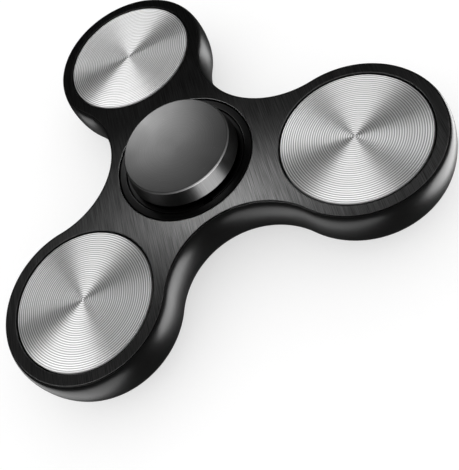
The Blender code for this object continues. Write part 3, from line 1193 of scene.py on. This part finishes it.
def makeBallCageTree():
    tree, given, result = newGroup(
        "ballCage",
        "GeometryNodeTree",
        [
            ("Inside", "NodeSocketFloat", 0.0068),
            ("Outside", "NodeSocketFloat", 0.0082),
            ("Low", "NodeSocketFloat", 0.0),
            ("High", "NodeSocketFloat", 0.001),
            ("Pitch Radius", "NodeSocketFloat", 0.0075),
            ("Pocket Radius", "NodeSocketFloat", 0.0021),
            ("Ball Count", "NodeSocketInt", 7),
            ("Ball Height", "NodeSocketFloat", 0.0),
            ("Material", "NodeSocketMaterial", None),
        ],
        [("Geometry", "NodeSocketGeometry")],
    )
    depth = maths(tree, "SUBTRACT", given["High"], given["Low"])
    middle = maths(tree, "MULTIPLY", maths(tree, "ADD", given["High"], given["Low"]), 0.5)

    def drum(radius, height):
        cylinder = newNode(tree, "GeometryNodeMeshCylinder")
        cylinder.inputs["Vertices"].default_value = 96
        tree.links.new(radius, cylinder.inputs["Radius"])
        tree.links.new(height, cylinder.inputs["Depth"])
        spot = newNode(tree, "ShaderNodeCombineXYZ")
        tree.links.new(middle, spot.inputs[2])
        raised = newNode(tree, "GeometryNodeTransform")
        tree.links.new(cylinder.outputs["Mesh"], raised.inputs["Geometry"])
        tree.links.new(spot.outputs[0], raised.inputs["Translation"])
        return raised.outputs[0]

    circle = newNode(tree, "GeometryNodeMeshCircle")
    tree.links.new(given["Ball Count"], circle.inputs["Vertices"])
    tree.links.new(given["Pitch Radius"], circle.inputs["Radius"])
    spot = newNode(tree, "ShaderNodeCombineXYZ")
    tree.links.new(given["Ball Height"], spot.inputs[2])
    raised = newNode(tree, "GeometryNodeTransform")
    tree.links.new(circle.outputs[0], raised.inputs["Geometry"])
    tree.links.new(spot.outputs[0], raised.inputs["Translation"])
    pocket = newNode(tree, "GeometryNodeMeshUVSphere")
    pocket.inputs["Segments"].default_value = 40
    pocket.inputs["Rings"].default_value = 24
    tree.links.new(given["Pocket Radius"], pocket.inputs["Radius"])
    spread = newNode(tree, "GeometryNodeInstanceOnPoints")
    tree.links.new(raised.outputs[0], spread.inputs["Points"])
    tree.links.new(pocket.outputs["Mesh"], spread.inputs["Instance"])
    pockets = newNode(tree, "GeometryNodeRealizeInstances")
    tree.links.new(spread.outputs[0], pockets.inputs[0])

    cut = newNode(tree, "GeometryNodeMeshBoolean", operation="DIFFERENCE", solver="EXACT")
    tree.links.new(drum(given["Outside"], depth), cut.inputs["Mesh 1"])
    tree.links.new(drum(given["Inside"], maths(tree, "MULTIPLY", depth, 2.0)), cut.inputs["Mesh 2"])
    tree.links.new(pockets.outputs[0], cut.inputs["Mesh 2"])
    solid = newNode(tree, "GeometryNodeRealizeInstances")
    tree.links.new(cut.outputs["Mesh"], solid.inputs[0])
    painted = newNode(tree, "GeometryNodeSetMaterial")
    tree.links.new(solid.outputs[0], painted.inputs["Geometry"])
    tree.links.new(given["Material"], painted.inputs["Material"])
    tree.links.new(painted.outputs[0], result["Geometry"])
    return tree


def makeBallCage():
    low, high = heightsOf("ball_cage")
    mesh = treeMesh(
        "ballCageMesh",
        makeBallCageTree(),
        {
            "Inside": (bearing["cageOutside"] - bearing["cageWall"]) * mm,
            "Outside": bearing["cageOutside"] * mm,
            "Low": low * mm,
            "High": high * mm,
            "Pitch Radius": bearing["ballPitchRadius"] * mm,
            "Pocket Radius": (ballRadius + bearing["pocketGap"]) * mm,
            "Ball Count": bearing["ballCount"],
            "Ball Height": sizes["midHeight"] * mm,
            "Material": materials["cage"],
        },
    )
    piece = solidFrom(mesh, "ballCage")
    ride(piece, "cage", "cage", "ball_cage")


makeBearingRings()
makeShields()
makeSnapRings()
makeBalls()
makeBallCage()
print("bearing made")


# Turned weights inside the lobes

weights = {"chamfer": 0.4, "grooveWidth": 0.5, "grooveDepth": 0.3, "dimple": 0.6}


def makeWeights():
    chamfer, width, depth = weights["chamfer"], weights["grooveWidth"], weights["grooveDepth"]
    for number, turn in enumerate(lobeTurns, 1):
        node = f"lobe_weight_{number}"
        low, high = heightsOf(node)
        radius = sizeOf(node)[0] / 2
        middle = (low + high) / 2
        corners = [
            (0.0, low + depth, 0.0, 0),
            (weights["dimple"], low, 0.05, 0),
            (radius - chamfer, low, 0.1, 0),
            (radius, low + chamfer, 0.1, 0),
            (radius, middle - width, 0.05, 0),
            (radius - depth, middle - width / 2, 0.05, 0),
            (radius - depth, middle + width / 2, 0.05, 0),
            (radius, middle + width, 0.05, 0),
            (radius, high - chamfer, 0.1, 0),
            (radius - chamfer, high, 0.1, 0),
            (weights["dimple"], high, 0.05, 0),
            (0.0, high - depth, 0.0, 0),
        ]
        centre, paints = lobeCentre(turn), [materials["weight"]]
        piece = turnedPiece(f"lobeWeight{number}", corners, paints, closed=False, centre=centre)
        ride(piece, "rotor", "weights", node)


makeWeights()
print("weights made")


# Floor, lights and sky

studio = {
    "floorSize": 4.0,
    "skyToCamera": 1.0,
    "skyToGloss": 0.03,
    "skyElsewhere": 1.12,
    "floorGlow": 0.55,
    "floorDark": 0.44,
    "floorLight": 0.46,
    "aimHeight": 0.01,
}


def makeFloor():
    builder = bmesh.new()
    half = studio["floorSize"]
    corners = ((-half, -half), (half, -half), (half, half), (-half, half))
    builder.faces.new([builder.verts.new((x, y, 0.0)) for x, y in corners])
    finish = Finish("paleFloor", {"Metallic": 0.0, "Emission Strength": studio["floorGlow"]})
    finish.shader.inputs["Emission Color"].default_value = (1.0, 1.0, 1.0, 1.0)
    marks = finish.effect("handling", Smudge_Size=0.05, Grain_Size=0.0006)
    dark, light = grey(studio["floorDark"]), grey(studio["floorLight"])
    finish.set("Base Color", finish.blend(marks["Smudge"], dark, light))
    finish.set("Roughness", remap(finish.tree, marks["Grain"], 0.0, 1.0, 0.6, 0.8))
    finish.set("Normal", finish.bump(marks["Grain"], 0.000004))
    floor = finishMesh("floor", builder, [finish.material])
    floor.visible_glossy = False
    floor.visible_shadow = False


def makeSky():
    world = bpy.data.worlds.new("studioSky")
    bpy.context.scene.world = world
    world.use_nodes = True
    tree = world.node_tree
    tree.nodes.clear()
    path = newNode(tree, "ShaderNodeLightPath")
    plain = studio["skyElsewhere"]
    strength = plain
    for ray, level in (("Is Glossy Ray", "skyToGloss"), ("Is Camera Ray", "skyToCamera")):
        change = maths(tree, "MULTIPLY", path.outputs[ray], studio[level] - plain)
        strength = maths(tree, "ADD", strength, change)
    background = newNode(tree, "ShaderNodeBackground")
    background.inputs["Color"].default_value = (1.0, 1.0, 1.0, 1.0)
    tree.links.new(strength, background.inputs["Strength"])
    output = newNode(tree, "ShaderNodeOutputWorld")
    tree.links.new(background.outputs[0], output.inputs[0])


# A soft rectangular light that lights only the pieces it is given

def softLight(name, location, turning, width, height, power, receivers):
    data = bpy.data.lights.new(name, "AREA")
    data.shape = "RECTANGLE"
    data.size = width
    data.size_y = height
    data.energy = power
    lamp = bpy.data.objects.new(name, data)
    lamp.matrix_world = Matrix.Translation(location) @ turning.to_4x4()
    bpy.context.scene.collection.objects.link(lamp)
    lit = bpy.data.collections.new(name + "Receivers")
    for receiver in receivers:
        lit.objects.link(bpy.data.objects[receiver])
    lamp.light_linking.receiver_collection = lit


def aroundLight(name, azimuth, elevation, distance, width, height, power, receivers):
    across, up = math.radians(azimuth), math.radians(elevation)
    away = Vector((math.cos(across) * math.cos(up), math.sin(across) * math.cos(up), math.sin(up)))
    location = away * distance + Vector((0.0, 0.0, studio["aimHeight"]))
    turning = away.to_track_quat("Z", "Y").to_matrix()
    softLight(name, location, turning, width, height, power, receivers)


# A disc's bright wedge points where the light and the view lean together

def wedgeLight(name, number, wedge, values):
    faceHeight = sizes["midHeight"] + sizes["bodyThickness"] / 2
    centre = Vector((*lobeCentre(lobeTurns[number - 1]), faceHeight)) * mm
    towards = (camera.location - centre).normalized()
    turn = math.radians(wedge)
    lean = values["tilt"]
    tilted = Vector((lean * math.cos(turn), lean * math.sin(turn), 1.0)).normalized()
    away = 2 * towards.dot(tilted) * tilted - towards
    across = Vector((-math.sin(turn), math.cos(turn), 0.0))
    across = (across - away * across.dot(away)).normalized()
    location = centre + away * values["distance"]
    turning = Matrix((across, away.cross(across), away)).transposed()
    receivers = [f"{side}SpunDisc{number}" for side in ("upper", "lower")]
    softLight(name, location, turning, values["width"], values["length"], values["power"], receivers)


frameOnly = ["spinnerFrame"]
capsOnly = ["upperCap", "lowerCap"]
capAndBearing = capsOnly + ["outerRing", "upperShield", "lowerShield", "upperSnapRing", "lowerSnapRing"]
lights = {  # azimuth and elevation, then distance, width and height in metres, and watts
    "keyLight": (86.0, 55.0, 0.9, 0.42, 0.42, 1.8, frameOnly),
    "fillLight": (-76.0, 55.0, 0.9, 0.22, 0.22, 0.8, frameOnly),
    "faceGlow": (0.0, 65.0, 0.055, 0.008, 0.008, 0.009, frameOnly),
    "capGlow": (7.0, 39.0, 0.0775, 0.02, 0.02, 0.0042, capAndBearing),
    "skirtGlint": (196.0, 8.0, 0.35, 0.3, 0.1, 1.5, capAndBearing),
    "sideRight": (261.0, -35.0, 0.35, 0.46, 0.2, 1.15, frameOnly),
    "sideLeft": (112.0, -42.0, 0.35, 0.75, 0.14, 0.42, frameOnly),
}
wedges = {  # by the direction that the wedge points in
    145.0: {"tilt": 0.3, "width": 0.34, "length": 0.12, "distance": 0.5, "power": 1.2},
    48.0: {"tilt": 0.3, "width": 0.2, "length": 0.12, "distance": 0.5, "power": 0.62},
}

makeFloor()
makeSky()
for name, values in lights.items():
    aroundLight(name, *values)
for wedge, values in wedges.items():
    for number in range(1, sizes["lobeCount"] + 1):
        wedgeLight(f"discLight{number}At{wedge:.0f}", number, wedge, values)
print("studio ready")
